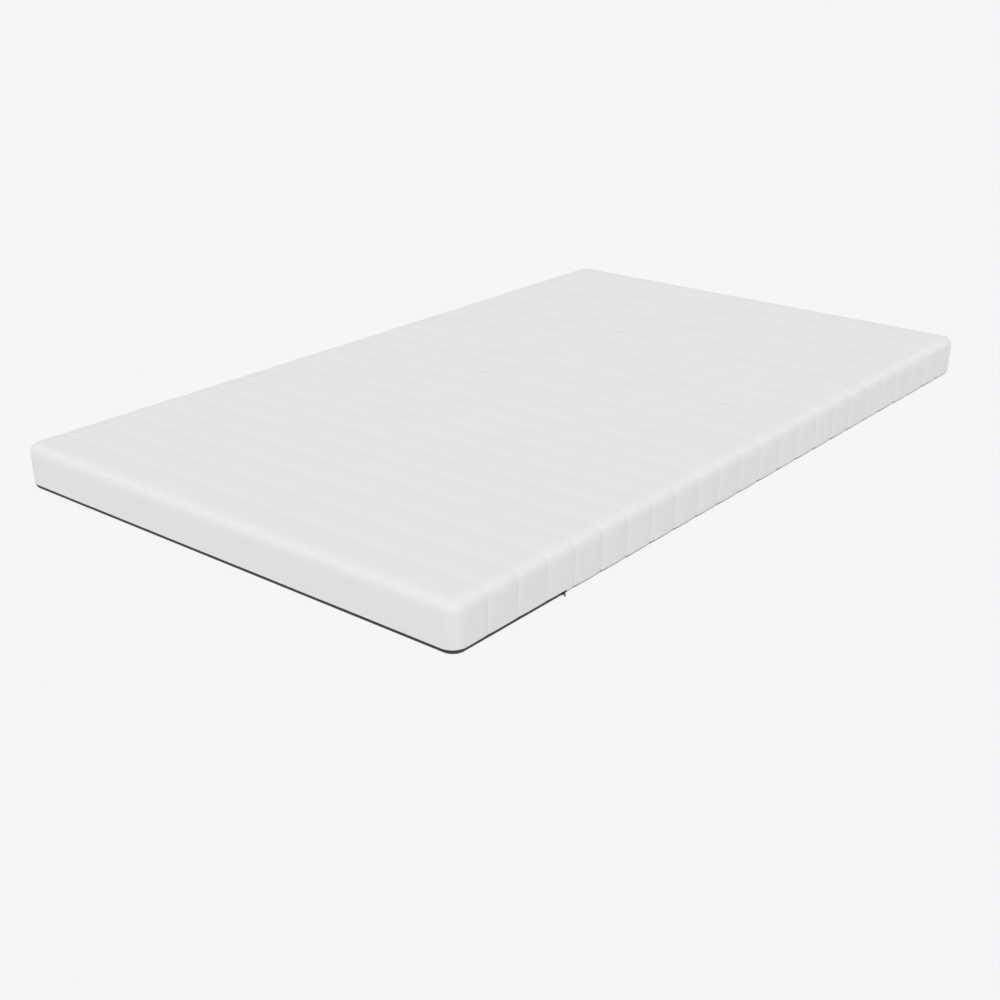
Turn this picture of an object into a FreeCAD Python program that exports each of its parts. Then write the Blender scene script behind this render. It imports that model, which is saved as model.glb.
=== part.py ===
import FreeCAD, Part
import os
import Sketcher

# Memory foam mattress with a removable quilted cover.
# Frame: origin at the middle of the base face, X across the bed, Y along it, Z up.
# The zip runs round the -Y end and a little way up both long sides.
# "Inset" is how far a layer lies inside the cover's outer face.

SIZES = (
    ("bed_width", 1200, "across the bed"),
    ("bed_length", 2000, "along the bed"),
    ("bed_height", 100, "base to sleep surface"),
    ("corner_radius", 31, "upright corners of the cover"),
    ("top_radius", 21, "rounding along the top edge"),
    ("base_radius", 12, "rounding along the base edge"),
    ("fabric", 1.0, "thickness of both tickings"),
    ("seam_height", 8, "where the white side meets the base ticking"),
    ("quilt_first", 88.5, "first quilting line from the zipped end"),
    ("quilt_pitch", 82.65, "spacing of the quilting lines"),
    ("quilt_width", 0.6, "width of a quilting line"),
    ("quilt_depth", 0.5, "thickness of the quilting thread"),
    ("wadding_inset", 1.8, ""),
    ("wadding_thick", 5.0, ""),
    ("hem_inset", 4.2, "inner side of the wadding pressed flat at the hem"),
    ("hem_top", 22, "where the wadding reaches its full thickness"),
    ("backing_inset", 7.0, ""),
    ("backing_thick", 0.4, ""),
    ("sleeve_inset", 8.0, ""),
    ("sleeve_thick", 0.5, ""),
    ("sleeve_base", 2.4, "underside of the sleeve"),
    ("sleeve_base_radius", 8, ""),
    ("sleeve_seam_height", 45, "closing seam at each short end"),
    ("sleeve_seam_length", 1080, ""),
    ("foam_inset", 9.0, ""),
    ("foam_base", 3.2, "underside of the foam"),
    ("foam_joint", 66, "where the memory foam lies on the base foam"),
    ("thread", 0.4, "thickness of the sewing threads"),
    ("binding_inset", 12, "outer edge of the seam binding"),
    ("binding_width", 7, ""),
    ("binding_thick", 0.5, ""),
    ("zip_side", 308, "how far the zip runs up each long side"),
    ("zip_height", 7.4, "middle of the zip above the base"),
    ("zip_hem", 12.2, "lower edge of the white side along the zip"),
    ("tape_inset", 5.0, "outer face of the zip tapes"),
    ("tape_thick", 0.5, ""),
    ("tape_width", 12, ""),
    ("tape_edge", 1.2, "from the zip's middle to each tape"),
    ("tape_level", 1.1, "underside of the lower tape, above the base ticking"),
    ("lower_tape_thick", 0.4, "of the part that lies on the base ticking"),
    ("coil_thick", 1.7, ""),
    ("coil_width", 2.2, "of one coil"),
    ("cord", 0.5, "core cord inside each coil"),
    ("cord_offset", 1.6, "from the zip's middle to each cord"),
    ("tack_length", 1.2, "bar tack along the zip"),
    ("tack_width", 6, "bar tack across the zip"),
    ("tack_thick", 1.2, ""),
    ("slider_park", 6, "from the zip's end to the slider's middle"),
    ("slider_length", 9, ""),
    ("slider_rear", 3.1, "half width at the rear"),
    ("slider_shoulder", 3.5, "half width at the shoulders"),
    ("slider_nose", 3.1, "half width at the nose"),
    ("slider_gap", 0.3, "clearance round the chain"),
    ("slider_plate", 0.8, "thickness of each plate"),
    ("divider_width", 1.8, ""),
    ("divider_length", 3.5, ""),
    ("bail_width", 1.2, ""),
    ("bail_wall", 0.8, "thickness of the bail's bridge and posts"),
    ("bail_room", 2.2, "between the bail's posts"),
    ("eye_gap", 0.25, "clearance between the pull tab's eye and the slider"),
    ("eye_diameter", 3.8, "outside of the pull tab's eye"),
    ("eye_hole", 2.2, "hole that the bail's bridge passes through"),
    ("tab_length", 6.7, "from the eye's middle to the tip"),
    ("tab_width", 3.0, ""),
    ("tab_thick", 0.9, ""),
    ("tab_hole", 1.4, "diameter of the hole near the tip"),
    ("tab_angle", 80, "degrees that the tab hangs down from straight out"),
)
QUILT_LINES = 23
TOUCH = 1e-4

doc = FreeCAD.newDocument("Mattress")


# --- building blocks ---------------------------------------------------------

def make_sheet():
    """Spreadsheet with the driving dimensions, one alias per row."""
    sheet = doc.addObject("Spreadsheet::Sheet", "Sizes")
    for row, (alias, value, note) in enumerate(SIZES, start=1):
        sheet.set(f"A{row}", alias)
        sheet.set(f"B{row}", str(value))
        sheet.set(f"C{row}", note)
        sheet.setAlias(f"B{row}", alias)
    doc.recompute()
    return sheet


def formula(text):
    """Write Sizes. before each alias, so that formulas stay short."""
    aliases = {alias for alias, value, note in SIZES}
    words = text.replace("(", "( ").replace(")", " )").split()
    return " ".join("Sizes." + word if word in aliases else word for word in words)


def bind(item, **formulas):
    """Bind properties to sheet formulas; base_x, base_y, base_z are the place."""
    for name, text in formulas.items():
        target = "Placement.Base." + name[-1] if name.startswith("base_") else name
        item.setExpression(target, formula(text))


def box(name, length, width, height, x, y, z):
    """Plain box from its size and its lowest corner."""
    item = doc.addObject("Part::Box", name)
    bind(item, Length=length, Width=width, Height=height, base_x=x, base_y=y, base_z=z)
    return item


def boolean(kind, name, base, tool):
    """Cut, Fuse or Common of two objects."""
    item = doc.addObject("Part::" + kind, name)
    item.Base = base
    item.Tool = tool
    return item


def compound(name, items):
    """Separate solids kept together as one sub-part."""
    item = doc.addObject("Part::Compound", name)
    item.Links = items
    return item


def round_edges(body, name, radius, wanted):
    """Fillet the edges of the body's tip whose box passes the test."""
    doc.recompute()
    feature = body.Tip
    edges = [f"Edge{number}" for number, edge in enumerate(feature.Shape.Edges, start=1)
             if wanted(edge.BoundBox)]
    fillet = body.newObject("PartDesign::Fillet", name)
    fillet.Base = (feature, edges)
    bind(fillet, Radius=radius)


def block(name, inset, low, high, top_radius=None, base_radius=None):
    """Slab with rounded upright corners, inset from the cover's outer face."""
    body = doc.addObject("PartDesign::Body", name)
    slab = body.newObject("PartDesign::AdditiveBox", name + "Slab")
    bind(slab, Length=f"bed_width - 2 * ({inset})", Width=f"bed_length - 2 * ({inset})",
         Height=f"{high} - ({low})", base_x=f"{inset} - bed_width / 2",
         base_y=f"{inset} - bed_length / 2", base_z=low)
    round_edges(body, name + "Corners", f"corner_radius - ({inset})",
                lambda span: span.XLength < TOUCH and span.YLength < TOUCH)
    if top_radius:
        round_edges(body, name + "Top", top_radius,
                    lambda span: span.ZMin > body.Tip.Shape.BoundBox.ZMax - TOUCH)
    if base_radius:
        round_edges(body, name + "Base", base_radius,
                    lambda span: span.ZMax < body.Tip.Shape.BoundBox.ZMin + TOUCH)
    return body


def ring(name, outer_inset, inner_inset, low, high):
    """Upright strip that follows the whole outline."""
    outer = block(name + "Outer", outer_inset, low, high)
    inner = block(name + "Inner", inner_inset, f"{low} - 1", f"{high} + 1")
    return boolean("Cut", name + "Ring", outer, inner)


def strip(name, outer_inset, inner_inset, low, high, zone):
    """The part of a ring that lies in a zone."""
    return boolean("Common", name, ring(name, outer_inset, inner_inset, low, high), zone)


def zone_box(name, near, far, low="0 - 20", high="bed_height + 20"):
    """Box wider than the bed, between two places along it and two heights."""
    return box(name, "bed_width + 40", f"{far} - ({near})", f"{high} - ({low})",
               "0 - bed_width / 2 - 20", near, low)


def pad(body, name, plane, start, depth, points):
    """Pad a closed outline, bound corner by corner, from start along the plane's normal."""
    sketch = body.newObject("Sketcher::SketchObject", name + "Sketch")
    support = [feature for feature in body.Origin.OriginFeatures if feature.Role == plane][0]
    sketch.AttachmentSupport = [(support, "")]
    sketch.MapMode = "FlatFace"
    sketch.setExpression("AttachmentOffset.Base.z", formula(start))
    corners = [FreeCAD.Vector(*(sheet.evalExpression(formula(text)) for text in point), 0)
               for point in points]
    for number, corner in enumerate(corners):
        sketch.addGeometry(Part.LineSegment(corner, corners[(number + 1) % len(corners)]), False)
    for number, corner in enumerate(corners):
        sketch.addConstraint(
            Sketcher.Constraint("Coincident", number, 2, (number + 1) % len(corners), 1))
        for kind, value, text in (("DistanceX", corner.x, points[number][0]),
                                  ("DistanceY", corner.y, points[number][1])):
            place = sketch.addConstraint(Sketcher.Constraint(kind, -1, 1, number, 1, value))
            sketch.setExpression(f"Constraints[{place}]", formula(text))
    feature = body.newObject("PartDesign::Pad", name)
    feature.Profile = sketch
    bind(feature, Length=depth)


def primitive(body, kind, name, turn=None, **formulas):
    """Box or cylinder added to a body or cut from it, with an optional turn."""
    item = body.newObject("PartDesign::" + kind, name)
    if turn:
        item.Placement.Rotation = turn
    bind(item, **formulas)


def node(label, item):
    """Name a finished sub-part after its file."""
    item.Label = label
    nodes.append(item)
    return item


sheet = make_sheet()
nodes = []

zip_end = "zip_side - bed_length / 2"
zip_zone = zone_box("ZipZone", "0 - bed_length / 2 - 20", zip_end)
coil_zone = zone_box("CoilZone", "0 - bed_length / 2 - 20", f"{zip_end} - tack_length")
seam_zone = zone_box("SeamZone", zip_end, "bed_length / 2 + 20")
hem_zone = zone_box("HemZone", "0 - bed_length / 2 - 20", zip_end, high="zip_hem")
below_hem = zone_box("BelowHem", "0 - bed_length / 2 - 20", "bed_length / 2 + 20",
                     high="zip_hem + 0.2")


# --- foam core and its sleeve ------------------------------------------------

node("foam_base_core", block("BaseFoam", "foam_inset", "foam_base", "foam_joint",
                             base_radius="sleeve_base_radius - foam_inset + sleeve_inset"))
node("memory_foam_layer", block("MemoryFoam", "foam_inset", "foam_joint", "bed_height - foam_inset",
                                top_radius="top_radius - foam_inset"))

sleeve_outer = block("SleeveOuter", "sleeve_inset", "sleeve_base", "bed_height - sleeve_inset",
                     "top_radius - sleeve_inset", "sleeve_base_radius")
sleeve_inner = block("SleeveInner", "sleeve_inset + sleeve_thick", "sleeve_base + sleeve_thick",
                     "bed_height - sleeve_inset - sleeve_thick",
                     "top_radius - sleeve_inset - sleeve_thick",
                     "sleeve_base_radius - sleeve_thick")
node("core_sleeve", boolean("Cut", "Sleeve", sleeve_outer, sleeve_inner))


def sleeve_seam(name, place):
    """Closing thread across one short end of the sleeve."""
    return box(name, "sleeve_seam_length", "thread", "thread", "0 - sleeve_seam_length / 2",
               place, "sleeve_seam_height")


node("sleeve_closing_threads", compound("SleeveSeams", [
    sleeve_seam("SleeveSeamNear", "sleeve_inset - bed_length / 2 - thread"),
    sleeve_seam("SleeveSeamFar", "bed_length / 2 - sleeve_inset"),
]))


# --- quilted cover: backing, wadding, ticking and its threads ------------------

backing = boolean("Cut", "BackingShell",
                  block("BackingOuter", "backing_inset", "0", "bed_height - backing_inset",
                        "top_radius - backing_inset"),
                  block("BackingInner", "backing_inset + backing_thick", "0 - 1",
                        "bed_height - backing_inset - backing_thick",
                        "top_radius - backing_inset - backing_thick"))
hem_block = block("HemBlock", "hem_inset", "0 - 2", "hem_top")
node("cover_backing", boolean("Cut", "Backing", backing, hem_block))

wadding = boolean("Cut", "WaddingShell",
                  block("WaddingOuter", "wadding_inset", "0", "bed_height - wadding_inset",
                        "top_radius - wadding_inset"),
                  block("WaddingInner", "wadding_inset + wadding_thick", "0 - 1",
                        "bed_height - wadding_inset - wadding_thick",
                        "top_radius - wadding_inset - wadding_thick"))
wadding = boolean("Cut", "WaddingPressed", wadding, hem_block)
node("cover_wadding", boolean("Cut", "Wadding", wadding, below_hem))

cover_outer = block("CoverOuter", "0", "0", "bed_height", "top_radius", "base_radius")
cover_inner = block("CoverInner", "fabric", "fabric", "bed_height - fabric",
                    "top_radius - fabric", "base_radius - fabric")
cover = boolean("Cut", "CoverShell", cover_outer, cover_inner)

thread_inner = block("ThreadInner", "quilt_depth", "0 - 1", "bed_height - quilt_depth",
                     "top_radius - quilt_depth")
thread_shell = boolean("Cut", "ThreadShell", cover_outer, thread_inner)
quilt_slots = compound("QuiltSlots", [
    box(f"QuiltSlot{line}", "bed_width + 40", "quilt_width", "bed_height",
        "0 - bed_width / 2 - 20",
        f"quilt_first + {line} * quilt_pitch - bed_length / 2 - quilt_width / 2", "zip_hem")
    for line in range(QUILT_LINES)])
quilting = node("quilting_threads", boolean("Common", "Quilting", thread_shell, quilt_slots))

below_seam = zone_box("BelowSeam", "0 - bed_length / 2 - 20", "bed_length / 2 + 20",
                      high="seam_height")
upper_cover = boolean("Cut", "UpperCover", cover, below_seam)
upper_cover = boolean("Cut", "UpperCoverHem", upper_cover, hem_zone)
node("cover_top_ticking", boolean("Cut", "TopTicking", upper_cover, quilting))


# --- base ticking and the seam where there is no zip ---------------------------

base_rim = zone_box("BaseRim", "0 - bed_length / 2 - 20", zip_end, low="fabric", high="zip_hem")
base_cover = boolean("Common", "BaseCover", cover, below_seam)
node("cover_base_ticking", boolean("Cut", "BaseTicking", base_cover, base_rim))
node("seam_binding", strip("Binding", "binding_inset", "binding_inset + binding_width",
                           "tape_level", "tape_level + binding_thick", seam_zone))
node("seam_thread", strip("SeamThread", "binding_inset + 2", "binding_inset + 2 + thread",
                          "tape_level + binding_thick", "tape_level + binding_thick + thread",
                          seam_zone))


# --- zip: tapes, coils, core cords, sewing threads and end tacks ---------------

node("zip_tape_upper", strip("UpperTape", "tape_inset", "tape_inset + tape_thick",
                             "zip_height + tape_edge", "zip_height + tape_edge + tape_width",
                             zip_zone))
tape_upright = ring("TapeUpright", "tape_inset", "tape_inset + tape_thick", "tape_level",
                    "zip_height - tape_edge")
tape_flat = ring("TapeFlat", "tape_inset",
                 "tape_inset + tape_width - zip_height + tape_edge + tape_level",
                 "tape_level", "tape_level + lower_tape_thick")
lower_tape = boolean("Fuse", "LowerTapeRing", tape_upright, tape_flat)
node("zip_tape_lower", boolean("Common", "LowerTape", lower_tape, zip_zone))

divider_notch = box("DividerNotch", "coil_thick + 1",
                    "slider_park + slider_length", "divider_width + 2 * slider_gap",
                    "bed_width / 2 - tape_inset - 0.5",
                    f"{zip_end} - slider_park + slider_length / 2 - divider_length - slider_gap",
                    "zip_height - divider_width / 2 - slider_gap")


def coil(label, name, low, cord_low):
    """One coil of the zip with its core cord, opened round the slider's divider."""
    cord_inset = "tape_inset - coil_thick / 2 - cord / 2"
    cord = strip(name + "Cord", cord_inset, f"{cord_inset} + cord", cord_low, f"{cord_low} + cord",
                 coil_zone)
    whole = strip(name, "tape_inset - coil_thick", "tape_inset", low, f"{low} + coil_width",
                  coil_zone)
    hollow = boolean("Cut", name + "Hollow", whole, cord)
    node(f"zip_coil_{label}", boolean("Cut", name + "Coil", hollow, divider_notch))
    node(f"zip_core_cord_{label}", cord)


coil("upper", "Upper", "zip_height", "zip_height + cord_offset - cord / 2")
coil("lower", "Lower", "zip_height - coil_width", "zip_height - cord_offset - cord / 2")

node("zip_thread_upper", strip("UpperThread", "tape_inset - thread - 0.2", "tape_inset - 0.2",
                               "zip_hem + 2", "zip_hem + 2 + thread", zip_zone))
node("zip_thread_lower", strip("LowerThread", "tape_inset + 5", "tape_inset + 5 + thread",
                               "tape_level + lower_tape_thick",
                               "tape_level + lower_tape_thick + thread", zip_zone))


def end_tack(name, side):
    """Bar tack across one end of the zip."""
    return box(name, "tack_thick", "tack_length", "tack_width", side, f"{zip_end} - tack_length",
               "zip_height - tack_width / 2")


node("zip_end_tacks", compound("EndTacks", [
    end_tack("RightTack", "bed_width / 2 - tape_inset"),
    end_tack("LeftTack", "tape_inset - bed_width / 2 - tack_thick"),
]))


# --- slider, in its own frame: X out of the zip, Y towards its closed end ------

slider = doc.addObject("PartDesign::Body", "Slider")
plate_inner = "coil_thick + slider_gap"
plate_outer = "coil_thick + slider_gap + slider_plate"
back_inner = "0 - tape_thick - slider_gap"
tail = "0 - slider_length / 2"
nose = "slider_length / 2"
shoulder = "slider_length / 2 - 2"
waist = "slider_length / 12"
plate_outline = (
    (tail, "0 - slider_rear"), (waist, "0 - slider_rear"), (shoulder, "0 - slider_shoulder"),
    (nose, "0 - slider_nose"), (nose, "slider_nose"), (shoulder, "slider_shoulder"),
    (waist, "slider_rear"), (tail, "slider_rear"),
)
pad(slider, "FrontPlate", "YZ_Plane", plate_inner, "slider_plate", plate_outline)
channel = "( coil_width + slider_gap )"
for side_name, sign in (("Upper", ""), ("Lower", "0 - ")):
    pad(slider, side_name + "Flange", "YZ_Plane", "slider_gap", "coil_thick", (
        (tail, sign + channel), (shoulder, sign + channel), (shoulder, sign + "slider_shoulder"),
        (waist, sign + "slider_rear"), (tail, sign + "slider_rear")))
divider_tail = "slider_length / 2 - divider_length"
pad(slider, "Divider", "YZ_Plane", back_inner, f"{plate_inner} - ({back_inner})", (
    (divider_tail, "0"), (f"{divider_tail} + 1.5", "0 - divider_width / 2"),
    (nose, "0 - divider_width / 2"), (nose, "divider_width / 2"),
    (f"{divider_tail} + 1.5", "divider_width / 2")))
pad(slider, "BackPlate", "YZ_Plane", f"{back_inner} - slider_plate", "slider_plate", plate_outline)

bail_middle = f"( {plate_outer} + eye_diameter / 2 + eye_gap )"
primitive(slider, "AdditiveBox", "Bail", Length=f"{bail_middle} + bail_wall / 2 - ({plate_outer})",
          Width="bail_room + 2 * bail_wall", Height="bail_width", base_x=plate_outer,
          base_y="0 - bail_room / 2 - bail_wall", base_z="0 - bail_width / 2")
primitive(slider, "SubtractiveBox", "BailEye",
          Length=f"{bail_middle} - bail_wall / 2 - ({plate_outer})", Width="bail_room",
          Height="bail_width + 2", base_x=plate_outer, base_y="0 - bail_room / 2",
          base_z="0 - bail_width / 2 - 1")
round_edges(slider, "BailRounding", "bail_wall * 0.8",
            lambda span: span.XMin > slider.Tip.Shape.BoundBox.XMax - TOUCH and span.YLength < TOUCH)
bind(slider, base_x="bed_width / 2 - tape_inset", base_y=f"{zip_end} - slider_park",
     base_z="zip_height")
node("zip_slider_body", slider)


# --- pull tab, in its own frame: X from its eye to its tip, Y along the bail ----

across = FreeCAD.Rotation(FreeCAD.Vector(1, 0, 0), 90)
tab_tip = "tab_length - tab_width / 2"
tab = doc.addObject("PartDesign::Body", "PullTab")
primitive(tab, "AdditiveBox", "TabPlate", Length=tab_tip, Width="tab_thick", Height="tab_width",
          base_x="0", base_y="0 - tab_thick / 2", base_z="0 - tab_width / 2")
for name, diameter, place in (("TabTip", "tab_width", tab_tip), ("TabEye", "eye_diameter", "0")):
    primitive(tab, "AdditiveCylinder", name, across, Radius=f"{diameter} / 2", Height="tab_thick",
              base_x=place, base_y="tab_thick / 2", base_z="0")
for name, diameter, place in (("TabHole", "tab_hole", tab_tip), ("EyeHole", "eye_hole", "0")):
    primitive(tab, "SubtractiveCylinder", name, across, Radius=f"{diameter} / 2",
              Height="tab_thick + 2", base_x=place, base_y="tab_thick / 2 + 1", base_z="0")
tab.Placement.Rotation = FreeCAD.Rotation(FreeCAD.Vector(0, 1, 0), 1)
tab.setExpression("Placement.Rotation.Angle", formula("tab_angle"))
bind(tab, base_x=f"bed_width / 2 - tape_inset + {bail_middle}",
     base_y=f"{zip_end} - slider_park", base_z="zip_height")
node("zip_pull_tab", tab)


# --- check the document, then write each sub-part -----------------------------

doc.recompute()
for item in doc.Objects:
    if "Invalid" in item.State or "Error" in item.State:
        raise RuntimeError(f"{item.Name} failed: {item.State}")
os.makedirs("parts", exist_ok=True)
for item in nodes:
    if item.Shape.isNull() or not item.Shape.isValid():
        raise RuntimeError(f"{item.Label} has no valid shape")
    item.Shape.exportStep(f"parts/{item.Label}.step")
    print(f"{item.Label:24} {len(item.Shape.Solids):3} solids {item.Shape.Volume:14.1f} mm3")
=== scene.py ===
import math

import bmesh
import bpy
import numpy as np
from mathutils import Matrix, Vector
from mathutils.bvhtree import BVHTree
from mathutils.interpolate import poly_3d_calc


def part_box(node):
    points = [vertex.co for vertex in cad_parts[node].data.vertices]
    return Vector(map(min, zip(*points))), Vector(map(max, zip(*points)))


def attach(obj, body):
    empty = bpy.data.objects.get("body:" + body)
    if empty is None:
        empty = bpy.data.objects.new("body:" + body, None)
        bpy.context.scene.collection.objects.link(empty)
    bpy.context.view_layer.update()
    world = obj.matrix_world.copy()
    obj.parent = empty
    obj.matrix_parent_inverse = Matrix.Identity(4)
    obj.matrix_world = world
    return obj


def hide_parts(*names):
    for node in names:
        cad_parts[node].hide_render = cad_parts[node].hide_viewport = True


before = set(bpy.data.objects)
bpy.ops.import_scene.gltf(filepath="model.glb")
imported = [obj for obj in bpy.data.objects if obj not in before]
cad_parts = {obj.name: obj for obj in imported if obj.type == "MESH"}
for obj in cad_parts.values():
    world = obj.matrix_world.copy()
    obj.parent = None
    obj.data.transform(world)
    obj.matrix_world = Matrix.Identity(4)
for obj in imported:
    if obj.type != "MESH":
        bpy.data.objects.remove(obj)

# Memory foam mattress: quilted white cover with a grey base and a zip, around a
# sleeved foam core. Metres, in the frame's axes: X across, Y along, Z up.
# "Inset" is how far something lies inside the cover's outer face.

MM = 0.001
TURN = 2 * math.pi
UP = np.array([0.0, 0.0, 1.0])
scene = bpy.context.scene
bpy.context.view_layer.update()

# Cover
cover_low, cover_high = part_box("cover_top_ticking")
HALF_WIDTH = cover_high.x
HALF_LENGTH = cover_high.y
HEIGHT = cover_high.z
CORNER = 31 * MM                # radius of the upright corners
TOP_ACROSS = 30 * MM            # rounding along the top edge: across the top
TOP_DOWN = 25 * MM              # and down the side
TOP_POWER = 3.0                 # 2 would be an ellipse: higher is flatter, with a tighter turn
LEAN = 1.2 * MM                 # how far the sides come in towards the base
FABRIC = 1.0 * MM
BASE_ELLIPSE = (12.5 * MM, 14 * MM)
SEAM_ANGLE = 25                 # degrees round the base rounding to the white edge
HEM_ROLL = 1.4 * MM             # radius of the folded hem along the zip
FLAP_TOP = 21 * MM              # top of the fabric turned in behind the hem

# Quilting
stitch_low, stitch_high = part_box("quilting_threads")
QUILT_LINES = 23
QUILT_WIDTH = 0.6 * MM
QUILT_FIRST = stitch_low.y + QUILT_WIDTH / 2
QUILT_PITCH = (stitch_high.y - stitch_low.y - QUILT_WIDTH) / (QUILT_LINES - 1)
QUILT_PLACES = QUILT_FIRST + QUILT_PITCH * np.arange(QUILT_LINES)
PUFF = 0.35 * MM                # most that a panel swells between its two lines
TOP_VALLEY = (0.95 * MM, 24 * MM)       # dip beside a line: depth and reach, on the top
SIDE_VALLEY = (2.2 * MM, 28 * MM)       # and down the sides
TOP_GROOVE = (0.4 * MM, 2.6 * MM)       # narrow groove that the stitches pull
SIDE_GROOVE = (1.8 * MM, 2.8 * MM)
HEM_SHARE = 0.35                # how much of the quilting is left at the zip's hem
QUILT_FADE = 60 * MM            # the height from which it fades towards the hem

# Zip
coil_low, coil_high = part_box("zip_coil_upper")
lower_coil_low, lower_coil_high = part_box("zip_coil_lower")
tack_low, tack_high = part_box("zip_end_tacks")
ZIP_END = tack_high.y
CHAIN_END = coil_high.y
ZIP_MIDDLE = coil_low.z
HEM = 11.1 * MM                 # lowest point of the white side along the zip
HEM_EASE = 5 * MM               # how quickly the hem rises from the seam to the zip
COIL_FACE = HALF_WIDTH - coil_high.x


# --- meshes ---

class Net:
    """Grids, caps and stitches gathered into one closed mesh."""

    def __init__(self):
        self.points = []
        self.coordinates = []
        self.faces = []
        self.count = 0

    def add(self, points, coordinates=None):
        """Add points of any shape, and give their numbers in that shape."""
        flat = points.reshape(-1, 3)
        index = np.arange(self.count, self.count + len(flat)).reshape(points.shape[:-1])
        self.points.append(flat)
        if coordinates is None:
            coordinates = points[..., :2]
        self.coordinates.append(np.broadcast_to(coordinates, points.shape[:-1] + (2,)).reshape(-1, 2))
        self.count += len(flat)
        return index

    def grid(self, points, coordinates=None, wrap=False, flip=False):
        """Quads over a grid of points; wrap closes the grid along its second axis."""
        index = self.add(points, coordinates)
        if wrap:
            index = np.concatenate([index, index[:, :1]], axis=1)
        quads = np.stack([index[:-1, :-1], index[:-1, 1:], index[1:, 1:], index[1:, :-1]], axis=-1)
        quads = quads.reshape(-1, 4)
        self.faces.append(quads[:, ::-1] if flip else quads)
        return index

    def sweep(self, points, coordinates=None):
        """Closed tube through rings of points, with flat ends."""
        index = self.grid(points, coordinates, wrap=True)
        self.faces.append(index[0, :-1][::-1][None])
        self.faces.append(index[-1, :-1][None])

    def volume(self):
        """Signed volume, which is positive when the faces look outwards."""
        points = np.concatenate(self.points)
        total = 0.0
        for faces in self.faces:
            for corner in range(1, faces.shape[1] - 1):
                a, b, c = (points[faces[:, k]] for k in (0, corner, corner + 1))
                total += float((a * np.cross(b, c)).sum()) / 6
        return total

    def build(self, name, material, sharp=50):
        """Weld the parts and make the object."""
        turn = -1 if self.volume() < 0 else 1
        faces = [face for block in self.faces for face in block[:, ::turn].tolist()]
        mesh = bpy.data.meshes.new(name)
        mesh.from_pydata(np.concatenate(self.points).tolist(), [], faces)
        corners = np.zeros(len(mesh.loops), np.int32)
        mesh.loops.foreach_get("vertex_index", corners)
        layer = mesh.uv_layers.new(name="cloth")
        layer.data.foreach_set("uv", np.concatenate(self.coordinates)[corners].ravel())
        welded = bmesh.new()
        welded.from_mesh(mesh)
        bmesh.ops.remove_doubles(welded, verts=welded.verts, dist=0.001 * MM)
        welded.to_mesh(mesh)
        welded.free()
        return make_object(name, mesh, material, sharp)


def link(name, data):
    """Put an object with this data in the scene."""
    thing = bpy.data.objects.new(name, data)
    scene.collection.objects.link(thing)
    return thing


def make_object(name, mesh, material, sharp=50):
    """Object with smooth shading and one material."""
    mesh.polygons.foreach_set("use_smooth", np.ones(len(mesh.polygons), bool))
    mesh.set_sharp_from_angle(angle=math.radians(sharp))
    mesh.materials.clear()
    mesh.materials.append(material)
    return link(name, mesh)


class Plan:
    """The bed seen from above: a grid that fills the outline, and the grid's border."""

    CORNER_STEPS = 6

    def __init__(self, columns, rows):
        self.base_x, self.reach_x = self.axis(HALF_WIDTH - CORNER, columns)
        self.base_y, self.reach_y = self.axis(HALF_LENGTH - CORNER, rows)
        walk = [self.walk(values) for values in np.meshgrid(self.base_x, self.base_y)]
        self.core = np.stack(walk, axis=-1)
        walk = [self.walk(values) for values in np.meshgrid(self.reach_x, self.reach_y)]
        reach = np.stack(walk, axis=-1)
        self.normal = reach / np.linalg.norm(reach, axis=-1, keepdims=True)

    def axis(self, core, inner):
        """Places along one axis: the straight stretch, and the share of each round corner."""
        steps = np.arange(1, self.CORNER_STEPS + 1) / self.CORNER_STEPS
        ends = np.full(self.CORNER_STEPS, core)
        base = np.concatenate([-ends, inner, ends])
        reach = np.concatenate([-steps[::-1], np.zeros(len(inner)), steps])
        return base, reach

    def walk(self, values):
        """Values round the border of the grid, counter-clockwise."""
        return np.concatenate([values[0, :-1], values[:-1, -1], values[-1, :0:-1], values[:0:-1, 0]])

    def grid(self, inset):
        """Places that fill the outline at that inset."""
        u, v = np.meshgrid(self.reach_x, self.reach_y)
        far = np.hypot(u, v)
        squeeze = np.maximum(np.abs(u), np.abs(v)) / np.where(far > 0, far, 1) * (CORNER - inset)
        x, y = np.meshgrid(self.base_x, self.base_y)
        return x + u * squeeze, y + v * squeeze


def place(core, normal, inset, height):
    """Points at an inset and a height along the outline."""
    flat = core + normal * (CORNER - inset)[..., None]
    return np.concatenate([flat, np.broadcast_to(height, flat.shape[:-1])[..., None]], axis=-1)


def run_along(points):
    """Distance walked to each point of a path, from the first."""
    steps = np.linalg.norm(np.diff(points, axis=0), axis=-1)
    return np.concatenate([np.zeros((1,) + steps.shape[1:]), np.cumsum(steps, axis=0)])


def squared(values, power):
    """Sines or cosines pushed towards 1 and -1, so that a circle becomes squarer."""
    return np.sign(values) * np.abs(values) ** power


def straight(length, step):
    """Evenly spaced places over a straight stretch, both ends included."""
    return np.linspace(-length, length, round(2 * length / step) + 1)


def quilt_rows(offsets):
    """Rows along the bed that are close together near each quilting line."""
    offsets = np.array(offsets) * MM
    pattern = np.concatenate([-offsets[:0:-1], offsets, [QUILT_PITCH / 2]])
    rows = (QUILT_PLACES[:, None] + pattern).ravel()
    limit = HALF_LENGTH - CORNER
    ends = QUILT_PLACES[0] - QUILT_PITCH / 2, QUILT_PLACES[-1] + QUILT_PITCH / 2
    eased = ZIP_END + HEM_EASE * np.linspace(0, 1, 5)
    rows = np.concatenate([[-limit, ends[0]], rows, eased, [limit]])
    rows = np.unique(np.round(rows / MM, 3)) * MM
    return rows[np.abs(rows) <= limit + 1e-9]


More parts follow.
